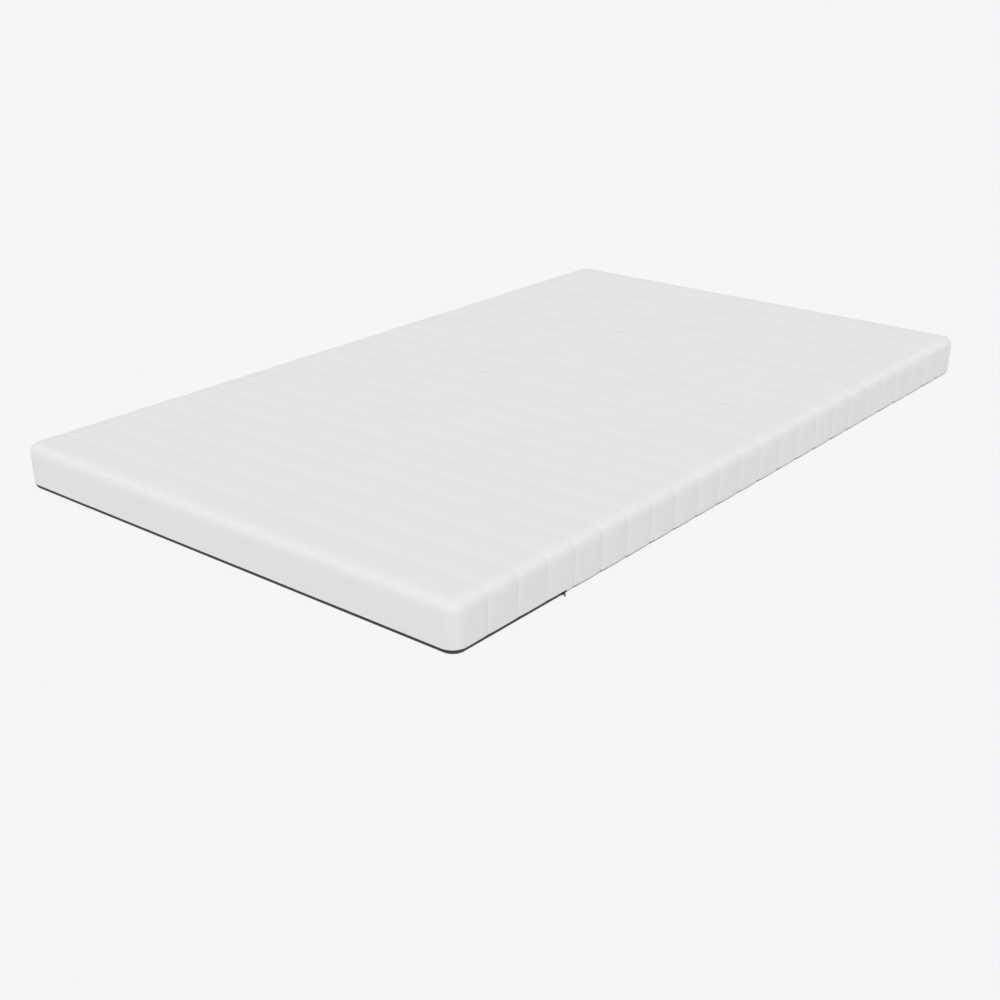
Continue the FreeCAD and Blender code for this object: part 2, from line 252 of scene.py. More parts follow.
def quilting(y, side=0.0):
    """How far the quilting draws the surface in along the bed: on top, or at the side."""
    gap = np.abs(np.asarray(y)[..., None] - QUILT_PLACES).min(axis=-1)

    def dip(depth, reach):
        return depth * (1 - np.minimum(gap / reach, 1)) ** 2

    return ((1 - side) * (dip(*TOP_VALLEY) + dip(*TOP_GROOVE))
            + side * (dip(*SIDE_VALLEY) + dip(*SIDE_GROOVE)))


def unevenness(x, y):
    """Slow, slight ups and downs of the filling, up to about a fifth of a millimetre."""
    waves = ((0.09, 0.31, 0.47, 0.4), (0.07, -0.23, 0.39, 2.1), (0.05, 0.17, -0.21, 4.4))
    return sum(size * MM * np.sin(TURN * (x / across + y / along) + start)
               for size, across, along, start in waves)


def zipped(core, normal):
    """From 0 to 1, how far the hem is that of the zip rather than the sewn seam."""
    y = core[..., 1] + normal[..., 1] * CORNER
    share = np.clip((ZIP_END + HEM_EASE - y) / HEM_EASE, 0, 1)
    return share * share * (3 - 2 * share)


def lean(height):
    """Inset of the side at a height, as the side comes in towards the base."""
    straight_top = HEIGHT - TOP_DOWN
    return LEAN * np.clip((straight_top - height) / straight_top, 0, 1) ** 1.5


def ellipse(degrees, shrink=0.0):
    """Rounding along the base edge: inset, height and slope at an angle below level."""
    angle = math.radians(degrees)
    wide, high = BASE_ELLIPSE
    return (LEAN + wide - (wide - shrink) * math.cos(angle),
            high - (high - shrink) * math.sin(angle), -angle)


def roll(inset, height, radius, degrees):
    """Places round a small fold: 0 degrees is its outer side, 90 its lowest point."""
    angle = math.radians(degrees)
    return inset - radius * math.cos(angle), height - radius * math.sin(angle), 0.0


def top_edge(offset, steps):
    """Rounding along the top edge: inset, height and slope from the top to the side."""
    levels = []
    for angle in np.linspace(math.pi / 2, 0, steps):
        across, up = max(math.cos(angle), 0.0), math.sin(angle)
        size = (across ** TOP_POWER + up ** TOP_POWER) ** (1 / TOP_POWER)
        slope = math.atan2(up ** (TOP_POWER - 1) / TOP_DOWN, across ** (TOP_POWER - 1) / TOP_ACROSS)
        levels.append((TOP_ACROSS * (1 - across / size) + offset * math.cos(slope),
                       HEIGHT - TOP_DOWN * (1 - up / size) - offset * math.sin(slope), slope))
    return levels


def flat_levels(*places):
    """Levels without slope, from pairs of inset and height in millimetres."""
    return [(inset * MM, height * MM, 0.0) for inset, height in places]


def side(offset, heights):
    """Side wall at an offset inside the outer face."""
    return [(offset + float(lean(height)), height, 0.0) for height in heights]


def share_at_hem(height):
    """How much of the quilting is left at a height, along the zip."""
    fall = np.clip((QUILT_FADE - height) / (QUILT_FADE - HEM), 0, 1)
    return 1 - (1 - HEM_SHARE) * fall


def drawn_in(plan, seam_level, zip_level, depth=1.0):
    """Ring of points at a level, mixed from the sewn and the zipped hem, and quilted."""
    share = zipped(plan.core, plan.normal)
    inset, height, slope = (a * (1 - share) + b * share for a, b in zip(seam_level, zip_level))
    y = plan.core[:, 1] + plan.normal[:, 1] * (CORNER - inset)
    x = plan.core[:, 0] + plan.normal[:, 0] * (CORNER - inset)
    draw = quilting(y, np.cos(slope)) * (1 - share + share * share_at_hem(height))
    draw = (draw + unevenness(x, y + height)) * depth
    inset = inset + draw * np.cos(slope)
    height = height - draw * np.sin(slope)
    return inset, height


def closed_form(name, material, plan, seam_levels, zip_levels, depths, lid_depths, sharp=50):
    """Closed form from a grid on top, rings of levels, and a grid that closes it.

    Each level is inset, height and slope; its depth says how much it is quilted."""
    net = Net()
    rings = [drawn_in(plan, a, b, depth) for a, b, depth in zip(seam_levels, zip_levels, depths)]
    points = np.stack([place(plan.core, plan.normal, *ring) for ring in rings])
    cloth = points[:1, :, :2] + plan.normal * run_along(points)[..., None]
    net.grid(points, cloth, wrap=True, flip=True)
    for level, depth, flip in ((seam_levels[0], lid_depths[0], False),
                               (seam_levels[-1], lid_depths[1], True)):
        x, y = plan.grid(level[0])
        height = level[1] - (quilting(y) + unevenness(x, y + level[1])) * depth
        net.grid(np.stack([x, y, height], axis=-1), flip=flip)
    return net.build(name, material, sharp)


class Outline:
    """The outline at an inset, walked from the middle of the far end down the left side."""

    def __init__(self, inset):
        core_x, core_y = HALF_WIDTH - CORNER, HALF_LENGTH - CORNER
        arc = (CORNER - inset) * math.pi / 2
        self.inset = inset
        legs = [0, core_x, arc, 2 * core_y, arc, 2 * core_x, arc, 2 * core_y, arc, core_x]
        self.knots = np.cumsum(legs)
        self.length = self.knots[-1]
        self.turns = np.array([1, 1, 2, 2, 3, 3, 4, 4, 5, 5]) * math.pi / 2
        self.core_x = np.array([0, -1, -1, -1, -1, 1, 1, 1, 1, 0]) * core_x
        self.core_y = np.array([1, 1, 1, -1, -1, -1, -1, 1, 1, 1]) * core_y

    def at(self, distance):
        """Centre line of the outline's corners and outward direction at a distance."""
        distance = np.mod(distance, self.length)
        turn = np.interp(distance, self.knots, self.turns)
        core = np.stack([np.interp(distance, self.knots, self.core_x),
                         np.interp(distance, self.knots, self.core_y)], axis=-1)
        return core, np.stack([np.cos(turn), np.sin(turn)], axis=-1)

    def stretch(self, y, step, sewn=False):
        """Distances between the two places at y on the long sides, by the zip or the seam."""
        left = self.knots[3] - (y + HALF_LENGTH - CORNER)
        right = self.knots[6] + (y + HALF_LENGTH - CORNER)
        first, last = (right, left + self.length) if sewn else (left, right)
        return np.linspace(first, last, round((last - first) / step) + 1)


def along(outline, distances, insets, heights):
    """Rings of points: a section carried along the outline."""
    core, normal = outline.at(distances)
    shape = (len(distances), np.shape(insets)[-1])
    insets = np.broadcast_to(insets, shape)
    heights = np.broadcast_to(heights, shape)
    return place(core[:, None], normal[:, None], insets, heights)


def stitches(centres, forward, out, length, width, rise):
    """Net of stitches: small thread beads that dip into the cloth at both ends."""
    sides = 5
    angle = np.arange(sides) * TURN / sides + math.pi / 2
    side = np.cross(forward, out)
    body = []
    for end in (-0.32, 0.32):
        for turn in angle:
            body.append(centres + forward * (end * length) + side * (width / 2 * math.cos(turn))
                        + out * (rise * (0.15 + 0.85 * math.sin(turn))))
    for end in (-0.5, 0.5):
        body.append(centres + forward * (end * length) - out * (rise * 0.6))
    net = Net()
    index = net.add(np.stack(body, axis=1))
    ring = np.arange(sides)
    after = (ring + 1) % sides
    first, second = index[:, ring], index[:, sides + ring]
    net.faces.append(np.stack([first, index[:, after], index[:, sides + after], second],
                              axis=-1).reshape(-1, 4))
    tail = np.broadcast_to(index[:, 2 * sides:2 * sides + 1], first.shape)
    tip = np.broadcast_to(index[:, 2 * sides + 1:], first.shape)
    net.faces.append(np.stack([tail, index[:, after], first], axis=-1).reshape(-1, 3))
    net.faces.append(np.stack([second, index[:, sides + after], tip], axis=-1).reshape(-1, 3))
    return net


# --- materials ---

class Shader:
    """A material with a Principled surface, and short ways to add its nodes."""

    def __init__(self, name, colour, roughness, **constants):
        self.material = bpy.data.materials.new(name)
        self.material.use_nodes = True
        self.tree = self.material.node_tree
        self.surface = self.tree.nodes["Principled BSDF"]
        self.surface.inputs["Base Color"].default_value = (*colour, 1)
        self.surface.inputs["Roughness"].default_value = roughness
        for socket, value in constants.items():
            self.surface.inputs[socket.replace("_", " ")].default_value = value

    def node(self, kind, inputs=(), **settings):
        """Add a node; inputs are (socket, value or link) pairs."""
        node = self.tree.nodes.new("ShaderNode" + kind)
        for key, value in settings.items():
            setattr(node, key, value)
        for socket, value in inputs:
            if isinstance(value, bpy.types.NodeSocket):
                self.tree.links.new(value, node.inputs[socket])
            else:
                node.inputs[socket].default_value = value
        return node

    def math(self, operation, *values):
        inputs = list(enumerate(values))
        return self.node("Math", inputs, operation=operation).outputs[0]

    def add(self, first, second):
        return self.math("ADD", first, second)

    def times(self, value, factor):
        return self.math("MULTIPLY", value, factor)

    def scaled(self, value, factor, start):
        return self.math("MULTIPLY_ADD", value, factor, start)

    def cloth(self):
        """The mesh's cloth coordinates, in metres, as X and Y."""
        parts = self.node("SeparateXYZ", [(0, self.node("UVMap", uv_map="cloth").outputs[0])])
        return parts.outputs[0], parts.outputs[1]

    def place(self):
        return self.node("TexCoord").outputs["Object"]

    def noise(self, scale, detail=2.0, vector=None):
        inputs = [("Vector", vector or self.place()), ("Scale", scale), ("Detail", detail)]
        return self.node("TexNoise", inputs).outputs["Fac"]

    def cells(self, scale):
        inputs = [("Vector", self.place()), ("Scale", scale)]
        return self.node("TexVoronoi", inputs).outputs["Distance"]

    def wave(self, value, period):
        """Sine of a length, from 0 to 1."""
        turned = self.math("SINE", self.times(value, TURN / period))
        return self.scaled(turned, 0.5, 0.5)

    def blend(self, factor, first, second):
        mix = self.node("Mix", [(0, factor), (6, (*first, 1)), (7, (*second, 1))], data_type="RGBA")
        return mix.outputs[2]

    def colour(self, factor, first, second):
        self.tree.links.new(self.blend(factor, first, second), self.surface.inputs["Base Color"])

    def rough(self, factor, low, high):
        value = self.scaled(factor, high - low, low)
        self.tree.links.new(value, self.surface.inputs["Roughness"])

    def bump(self, height, distance, strength=1.0):
        inputs = [("Height", height), ("Distance", distance), ("Strength", strength)]
        normal = self.node("Bump", inputs).outputs[0]
        self.tree.links.new(normal, self.surface.inputs["Normal"])


def knit(name, dark, light, wale, course, depth, roughness=0.9, sheen=0.1):
    """Weft-knitted jersey: columns of V-shaped stitches."""
    shader = Shader(name, light, roughness, Sheen_Weight=sheen, Sheen_Roughness=0.4)
    x, y = shader.cloth()
    fold = shader.math("PINGPONG", x, wale / 2)
    strand = shader.wave(shader.add(y, shader.times(fold, 0.9 * course / wale)), course)
    column = shader.wave(x, wale)
    height = shader.add(shader.times(strand, 0.6), column)
    fuzz = shader.noise(2600, 3)
    shader.bump(shader.add(height, shader.times(fuzz, 0.8)), depth)
    tone = shader.scaled(shader.noise(9, 2), 0.7, shader.times(height, 0.2))
    shader.colour(tone, dark, light)
    return shader.material


def weave(name, dark, light, pitch, depth, roughness=0.8):
    """Plain weave: warp and weft pass over each other in turn."""
    shader = Shader(name, light, roughness, Sheen_Weight=0.05, Sheen_Roughness=0.4)
    x, y = shader.cloth()
    warp = shader.wave(x, pitch)
    weft = shader.wave(y, pitch)
    over = shader.times(shader.wave(x, 2 * pitch), shader.wave(y, 2 * pitch))
    height = shader.add(over, shader.times(shader.add(warp, weft), 0.4))
    yarn = shader.noise(700, 3)
    shader.bump(shader.add(height, shader.times(yarn, 0.3)), depth)
    tone = shader.scaled(yarn, 0.7, shader.times(height, 0.25))
    shader.colour(tone, dark, light)
    shader.rough(yarn, roughness - 0.12, roughness + 0.12)
    return shader.material


def twill_tape(name, dark, light):
    """Zip tape: narrow herringbone of fine ribs."""
    shader = Shader(name, light, 0.75)
    x, y = shader.cloth()
    fold = shader.math("PINGPONG", y, 1.5 * MM)
    ribs = shader.wave(shader.add(x, fold), 0.55 * MM)
    threads = shader.wave(x, 0.3 * MM)
    height = shader.add(ribs, shader.times(threads, 0.4))
    shader.bump(height, 0.08 * MM)
    shader.colour(shader.times(height, 0.6), dark, light)
    return shader.material


def foam(name, dark, light, cell, depth):
    """Cut face of open-cell foam: small round cells of two sizes."""
    shader = Shader(name, light, 0.95)
    fine = shader.cells(1 / cell)
    coarse = shader.cells(0.3 / cell)
    height = shader.add(fine, shader.times(coarse, 0.6))
    shader.bump(height, depth)
    tone = shader.scaled(shader.noise(14, 3), 0.5, shader.times(height, 0.6))
    shader.colour(tone, dark, light)
    return shader.material


def fibre_fill(name, dark, light):
    """Polyester wadding: a felt of fine, crossing fibres."""
    shader = Shader(name, light, 0.95, Sheen_Weight=0.15, Sheen_Roughness=0.5)
    warp = shader.noise(180, 2)
    stretched = shader.node("Mapping", [("Vector", shader.place()), ("Scale", (1, 6, 1))])
    crossed = shader.node("Mapping", [("Vector", shader.place()), ("Scale", (6, 1, 1))])
    strands = shader.add(shader.noise(420, 4, stretched.outputs[0]),
                          shader.noise(420, 4, crossed.outputs[0]))
    height = shader.add(strands, warp)
    shader.bump(height, 0.6 * MM)
    shader.colour(shader.times(height, 0.45), dark, light)
    return shader.material


def spun_bond(name, dark, light):
    """Non-woven backing: matted fibres with rows of small bonding points."""
    shader = Shader(name, light, 0.85)
    x, y = shader.cloth()
    points = shader.times(shader.wave(x, 1.6 * MM), shader.wave(y, 1.6 * MM))
    bonds = shader.math("GREATER_THAN", points, 0.7)
    fibres = shader.noise(900, 4)
    height = shader.math("SUBTRACT", fibres, bonds)
    shader.bump(height, 0.1 * MM)
    shader.colour(shader.scaled(height, 0.5, 0.4), dark, light)
    return shader.material


def thread(name, dark, light, ply):
    """Sewing thread: twisted plies, slightly glossy."""
    shader = Shader(name, light, 0.6, Sheen_Weight=0.1)
    parts = shader.node("SeparateXYZ", [(0, shader.place())]).outputs
    slant = shader.add(shader.add(parts[0], parts[1]), parts[2])
    twist = shader.wave(slant, ply)
    shader.bump(shader.add(twist, shader.noise(3000, 2)), 0.05 * MM)
    shader.colour(twist, dark, light)
    return shader.material


def nylon(name, dark, light):
    """Moulded nylon of the zip's coils, satin with fine scuffs."""
    shader = Shader(name, light, 0.42, Specular_IOR_Level=0.5)
    scuff = shader.noise(1400, 3)
    shader.colour(scuff, dark, light)
    shader.rough(scuff, 0.32, 0.55)
    shader.bump(scuff, 0.02 * MM)
    return shader.material


def enamel(name, dark, light):
    """Dark painted metal, a little uneven from the casting, worn through in places."""
    shader = Shader(name, light, 0.35, Metallic=0.6, Coat_Weight=0.3, Coat_Roughness=0.2)
    cast = shader.noise(900, 3)
    wear = shader.noise(320, 4)
    shader.colour(wear, dark, light)
    shader.rough(cast, 0.28, 0.5)
    shader.bump(cast, 0.03 * MM)
    return shader.material


def grey(level):
    return (level, level, level * 1.01)


WHITE_KNIT = knit("white_ticking_knit", (0.77, 0.77, 0.775), (0.81, 0.81, 0.812),
                  0.95 * MM, 0.8 * MM, 0.06 * MM)
SLEEVE_KNIT = knit("sleeve_jersey", (0.72, 0.72, 0.71), (0.8, 0.8, 0.79),
                   1.6 * MM, 1.3 * MM, 0.25 * MM, sheen=0.2)
GREY_WEAVE = weave("grey_base_weave", grey(0.13), grey(0.23), 0.7 * MM, 0.12 * MM)
BINDING = weave("binding_tape_weave", (0.66, 0.66, 0.65), (0.78, 0.78, 0.77), 0.5 * MM, 0.08 * MM)
BACKING = spun_bond("backing_non_woven", (0.7, 0.7, 0.69), (0.82, 0.82, 0.81))
WADDING = fibre_fill("polyester_wadding", (0.74, 0.74, 0.74), (0.86, 0.86, 0.86))
BASE_FOAM = foam("base_polyurethane_foam", (0.62, 0.64, 0.66), (0.78, 0.79, 0.8), 1.1 * MM, 0.5 * MM)
MEMORY_FOAM = foam("memory_foam", (0.78, 0.74, 0.62), (0.86, 0.83, 0.72), 0.5 * MM, 0.15 * MM)
WHITE_THREAD = thread("white_sewing_thread", (0.72, 0.72, 0.72), (0.84, 0.84, 0.84), 0.5 * MM)
GREY_THREAD = thread("grey_sewing_thread", grey(0.05), grey(0.10), 0.5 * MM)
ZIP_TAPE = twill_tape("zip_tape_twill", grey(0.045), grey(0.11))
COIL_NYLON = nylon("zip_coil_nylon", grey(0.07), grey(0.13))
CORD_YARN = thread("zip_cord_yarn", grey(0.04), grey(0.08), 0.9 * MM)
SLIDER_PAINT = enamel("slider_enamel", grey(0.03), grey(0.06))


# --- the cover ---

COVER_ROWS = quilt_rows((0, 0.8, 1.7, 2.6, 5, 9, 15, 23, 31))
COARSE_ROWS = quilt_rows((0, 3, 9, 20))
cover_plan = Plan(straight(HALF_WIDTH - CORNER, 23 * MM), COVER_ROWS)
coarse_plan = Plan(straight(HALF_WIDTH - CORNER, 35 * MM), COARSE_ROWS)
plain_plan = Plan(straight(HALF_WIDTH - CORNER, 60 * MM), straight(HALF_LENGTH - CORNER, 60 * MM))
SIDE_HEIGHTS = np.array([64, 54, 45, 36, 27, 20]) * MM


def outer_levels():
    """The white side from the top edge to its hem: with the sewn seam, and with the zip."""
    upper = top_edge(0, 13) + side(0, SIDE_HEIGHTS)
    seam = [ellipse(degrees) for degrees in np.linspace(0, SEAM_ANGLE, 4)]
    hem_outer = float(lean(HEM)) + HEM_ROLL
    hem = side(0, np.array([17.5, 15.5, 14]) * MM) + [roll(hem_outer, HEM + HEM_ROLL, HEM_ROLL, 0)]
    return upper + seam, upper + hem


def turned_in(inset, height, radius, top, crown, foot, last):
    """Fabric rolled under an edge and up behind it, then back down to where it rests."""
    fold = [roll(inset, height, radius, degrees) for degrees in (45, 90, 135, 180)]
    flap = inset + radius
    return fold + [(flap, top, 0.0), (flap - 0.4 * MM, top + crown, 0.0), (flap - 0.7 * MM, top, 0.0),
                   (flap - 0.7 * MM, foot, 0.0), (*last, 0.0)]


def hem_levels():
    """The fabric turned in behind the edge, and the inner face up to the top."""
    inset, height, _ = ellipse(SEAM_ANGLE)
    turn = 0.8 * MM
    seam = turned_in(inset + turn, height, turn, height + 7 * MM, 0.6 * MM, height + 2.5 * MM,
                     (inset + 0.8 * MM, height + 1.6 * MM))
    seam += [ellipse(degrees, FABRIC) for degrees in (SEAM_ANGLE - 8, 0)]
    outer = float(lean(HEM)) + HEM_ROLL
    foot = HEM + 2.2 * MM
    hem = turned_in(outer, HEM + HEM_ROLL, HEM_ROLL, FLAP_TOP, 0.5 * MM, foot,
                    (outer - HEM_ROLL + FABRIC, foot))
    hem += side(FABRIC, np.array([16, 19]) * MM)
    inside = side(FABRIC, SIDE_HEIGHTS[-2::-2]) + top_edge(FABRIC, 7)[::-1]
    return seam + inside, hem + inside


seam_out, zip_out = outer_levels()
seam_in, zip_in = hem_levels()
white_ticking = closed_form("white_ticking", WHITE_KNIT, cover_plan, seam_out + seam_in,
                            zip_out + zip_in, np.ones(len(seam_out + seam_in)), (1, 1), sharp=80)


def coordinates(mesh):
    """Vertex places of a mesh, one row each."""
    flat = np.zeros(len(mesh.vertices) * 3)
    mesh.vertices.foreach_get("co", flat)
    return flat.reshape(-1, 3)


SEWN_REACH = 2 * MM             # the skin is held this close to a line of stitches
HELD_BELOW = 22 * MM            # and at its hem
BLOW_FRAMES = 20


def swollen_skin():
    """Coarse skin of the cover, held where it is sewn and blown up from inside by cloth
    simulation: its faces, its places before, and its swelling, at most PUFF."""
    plan = Plan(straight(HALF_WIDTH - CORNER, 30 * MM), quilt_rows((0, 10, 20, 31)))
    seam, zip_side = seam_out[::2] + [seam_out[-1]], zip_out[::2] + [zip_out[-1]]
    skin = closed_form("skin", WHITE_KNIT, plan, seam, zip_side, np.ones(len(seam)), (1, 0))
    rest = coordinates(skin.data)
    gap = np.abs(rest[:, 1:2] - QUILT_PLACES).min(axis=1)
    sewn = np.nonzero((gap < SEWN_REACH) | (rest[:, 2] < HELD_BELOW))[0]
    skin.vertex_groups.new(name="sewn").add(sewn.tolist(), 1.0, "REPLACE")
    cloth = skin.modifiers.new("cloth", "CLOTH")
    cloth.settings.vertex_group_mass = "sewn"
    cloth.settings.use_pressure = True
    cloth.settings.uniform_pressure_force = 4
    cloth.settings.tension_stiffness = 40
    cloth.settings.compression_stiffness = 40
    cloth.settings.bending_stiffness = 2
    cloth.settings.effector_weights.gravity = 0
    cloth.collision_settings.use_collision = False
    for number in range(1, BLOW_FRAMES + 1):
        scene.frame_set(number)
    blown = skin.evaluated_get(bpy.context.evaluated_depsgraph_get())
    moved = coordinates(blown.data) - rest
    normals = np.array([vertex.normal[:] for vertex in skin.data.vertices])
    rise = np.clip((moved * normals).sum(axis=1), 0, None)
    rise = np.minimum(rise * PUFF / np.percentile(rise, 90), PUFF)
    faces = [list(face.vertices) for face in skin.data.polygons]
    bpy.data.objects.remove(skin)
    scene.frame_set(1)
    return faces, rest, normals * rise[:, None]


def puff_up(piece):
    """Let a piece follow the swollen skin."""
    faces, rest, swelling = swollen_skin()
    places = [Vector(place) for place in rest]
    tree = BVHTree.FromPolygons(places, faces)
    points = coordinates(piece.data)
    shift = np.zeros(points.shape)
    for number, point in enumerate(points):
        near, _, face, _ = tree.find_nearest(point)
        corners = faces[face]
        if np.any(swelling[corners]):
            weights = poly_3d_calc([places[corner] for corner in corners], near)
            shift[number] = np.array(weights) @ swelling[corners]
    piece.data.vertices.foreach_set("co", (points + shift).ravel())
    piece.data.update()


puff_up(white_ticking)


def wadding_levels():
    """Wadding between the ticking and the backing, pressed thin at the hem."""
    gap = FABRIC + 0.15 * MM
    inner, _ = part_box("cover_backing")
    inner = HALF_WIDTH + inner.x - 0.2 * MM
    outside = top_edge(gap, 7) + side(gap, SIDE_HEIGHTS[1::2])
    seam = side(gap, [16 * MM]) + flat_levels((3.0, 15.2), (3.6, 16), (4.0, 22))
    hem = side(gap, [15 * MM]) + flat_levels((2.7, 14.4), (3.1, 15), (3.2, 22))
    inside = [(inner, 28 * MM, 0.0), (inner, 50 * MM, 0.0)] + top_edge(inner, 6)[::-1]
    depths = [1] * (len(outside) + 4) + [0] * len(inside)
    return outside + seam + inside, outside + hem + inside, depths


seam_wad, zip_wad, wad_depths = wadding_levels()
wadding = closed_form("wadding_layer", WADDING, coarse_plan, seam_wad, zip_wad, wad_depths, (1, 0))


def plain_lid(inset, thick, low):
    """Levels of a thin lid, open below, inside the quilted part of the cover."""
    outside = top_edge(inset, 6) + [(inset, 50 * MM, 0.0), (inset, low, 0.0)]
    within = inset + thick
    inside = [(within, low, 0.0), (within, 50 * MM, 0.0)] + top_edge(within, 6)[::-1]
    levels = outside + inside
    return levels, levels, [0] * len(levels)


backing_low, backing_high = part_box("cover_backing")
backing = closed_form("backing_fabric", BACKING, plain_plan,
                      *plain_lid(HEIGHT - backing_high.z, 0.4 * MM, backing_low.z), (0, 0))


def grey_levels():
    """Grey base ticking: its upper face, its rim and its lower face."""
    flat = 18 * MM
    thick = 0.9 * MM
    under = [ellipse(degrees) for degrees in (SEAM_ANGLE + 5, 40, 50, 60, 70, 80, 90)]
    upper = [ellipse(degrees, thick) for degrees in (90, 80, 70, 60, 50, 40, SEAM_ANGLE + 9)]
    inset, height, slope = ellipse(SEAM_ANGLE + 4, thick / 2)
    seam = [(flat, thick, 0.0)] + upper + [(inset, height, slope)] + under + [(flat, 0.0, 0.0)]
    low = [(8.2, 1.0), (8.5, 0.7), (9.2, 0.45), (10.2, 0.2), (11.4, 0.08), (12.7, 0.02), (13.7, 0.0)]
    high = [(13.7, 0.9), (12.7, 0.92), (11.6, 0.98), (10.6, 1.05), (9.8, 1.1), (9.2, 1.15),
            (8.8, 1.2)]
    hem = [(flat, thick, 0.0)] + flat_levels(*high, (8.4, 1.2), *low) + [(flat, 0.0, 0.0)]
    depths = [0, 0, 0.1, 0.3, 0.5, 0.7, 0.9, 1, 1, 1, 0.9, 0.7, 0.5, 0.3, 0.1, 0, 0]
    return seam, hem, depths


seam_grey, zip_grey, grey_depths = grey_levels()
grey_ticking = closed_form("grey_ticking", GREY_WEAVE, coarse_plan, seam_grey, zip_grey,
                           grey_depths, (0, 0), sharp=80)


# --- quilting stitches ---

def quilt_line(y):
    """Path of one quilting line over the cover: points, and directions out of the cloth."""
    share = float(zipped(np.array([0, y]), np.array([0.0, 0.0])))
    levels = [tuple(a * (1 - share) + b * share for a, b in zip(*pair))
              for pair in zip(seam_out, zip_out)]
    half = []
    for inset, height, slope in levels:
        fade = 1 - share + share * float(share_at_hem(height))
        x = HALF_WIDTH - inset
        draw = float(quilting(y, math.cos(slope))) * fade + float(unevenness(x, y + height))
        half.append((x - draw * math.cos(slope), height - draw * math.sin(slope),
                     math.cos(slope), math.sin(slope)))
    flat = straight(HALF_WIDTH - TOP_ACROSS - 10 * MM, 40 * MM)
    top = [(x, HEIGHT - float(quilting(y)) - float(unevenness(x, y + HEIGHT)), 0.0, 1.0)
           for x in flat]
    left = [(-x, z, -out, up) for x, z, out, up in half[::-1]]
    return np.array(left + top + half)


def quilt_stitches():
    """All the stitches of the quilting lines."""
    pitch = 4.3 * MM
    centres, forwards, outs = [], [], []
    for y in QUILT_PLACES:
        line = quilt_line(y)
        run = run_along(line[:, :2])
        count = int((run[-1] - 2 * pitch) / pitch)
        at = (run[-1] - count * pitch) / 2 + pitch * np.arange(count + 1)
        x, z, out, up = (np.interp(at, run, line[:, k]) for k in range(4))
        size = np.hypot(out, up)
        out, up = out / size, up / size
        centres.append(np.stack([x, np.full(len(at), y), z], axis=-1))
        forwards.append(np.stack([up, np.zeros(len(at)), -out], axis=-1))
        outs.append(np.stack([out, np.zeros(len(at)), up], axis=-1))
    return stitches(*(np.concatenate(part) for part in (centres, forwards, outs)),
                    length=3.9 * MM, width=0.55 * MM, rise=0.3 * MM)


quilt_thread = quilt_stitches().build("quilt_stitches", WHITE_THREAD)


def outward(normal):
    """Outward directions along an outline, as level vectors."""
    return np.concatenate([normal, np.zeros((len(normal), 1))], axis=-1)


def stitched_line(outline, distances, height, length, width, rise, out=None):
    """Stitches along the outline at a height, standing out sideways or upwards."""
    core, normal = outline.at(distances)
    inset = np.full(len(distances), outline.inset)
    centres = place(core, normal, inset, height)
    outwards = outward(normal)
    up = np.broadcast_to(UP, outwards.shape)
    forward = np.cross(up, outwards)
    return stitches(centres, forward, up if out == "up" else outwards, length, width, rise)


# --- foam core and sleeve ---

def slab_levels(inset, low, high, top_radius, base_radius):
    """Levels of a closed slab with rounded edges."""
    def edge(radius, height, sign, angles):
        return [(inset + radius * (1 - math.cos(a)), height + sign * radius * math.sin(a), 0.0)
                for a in angles]

    top = edge(top_radius, high - top_radius, 1, np.linspace(math.pi / 2, 0, 6))
    base = edge(base_radius, low + base_radius, -1, np.linspace(0, math.pi / 2, 6))
    middle = [(inset, (low + high) / 2, 0.0)]
    levels = top + middle + base
    return levels, levels, [0] * len(levels)


def slab(name, node, material, top_radius, base_radius):
    low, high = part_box(node)
    levels = slab_levels(HALF_WIDTH - high.x, low.z, high.z, top_radius, base_radius)
    return closed_form(name, material, plain_plan, *levels, (0, 0))


FOAM_TOP = 12 * MM              # rounding of the foam's outer edges
FOAM_BASE = 7 * MM
FOAM_CUT = 0.8 * MM             # and of the edges where the two foams meet
SLEEVE_EASE = 1 * MM            # how much rounder the sleeve is
base_foam = slab("base_foam_block", "foam_base_core", BASE_FOAM, FOAM_CUT, FOAM_BASE)
memory_foam = slab("memory_foam_block", "memory_foam_layer", MEMORY_FOAM, FOAM_TOP, FOAM_CUT)

sleeve_low, sleeve_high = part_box("core_sleeve")
SLEEVE_THICK = 0.5 * MM


def sleeve():
    """Knitted sleeve: an outer and an inner skin, closed all round the foam."""
    net = Net()
    for offset, flip in ((0, False), (SLEEVE_THICK, True)):
        inset = HALF_WIDTH - sleeve_high.x + offset
        levels, _, _ = slab_levels(inset, sleeve_low.z + offset, sleeve_high.z - offset,
                                   FOAM_TOP + SLEEVE_EASE - offset,
                                   FOAM_BASE + SLEEVE_EASE - offset)
        rings = np.stack([place(plain_plan.core, plain_plan.normal,
                                np.full(len(plain_plan.core), s), z) for s, z, _ in levels])
        run = run_along(np.array(levels)[:, :2])
        cloth = rings[:1, :, :2] + plain_plan.normal * run[:, None, None]
        net.grid(rings, cloth, wrap=True, flip=not flip)
        for level, up in ((levels[0], True), (levels[-1], False)):
            x, y = plain_plan.grid(level[0])
            points = np.stack([x, y, np.full(x.shape, level[1])], axis=-1)
            net.grid(points, flip=up == flip)
    return net.build("sleeve_jersey", SLEEVE_KNIT)


core_sleeve = sleeve()


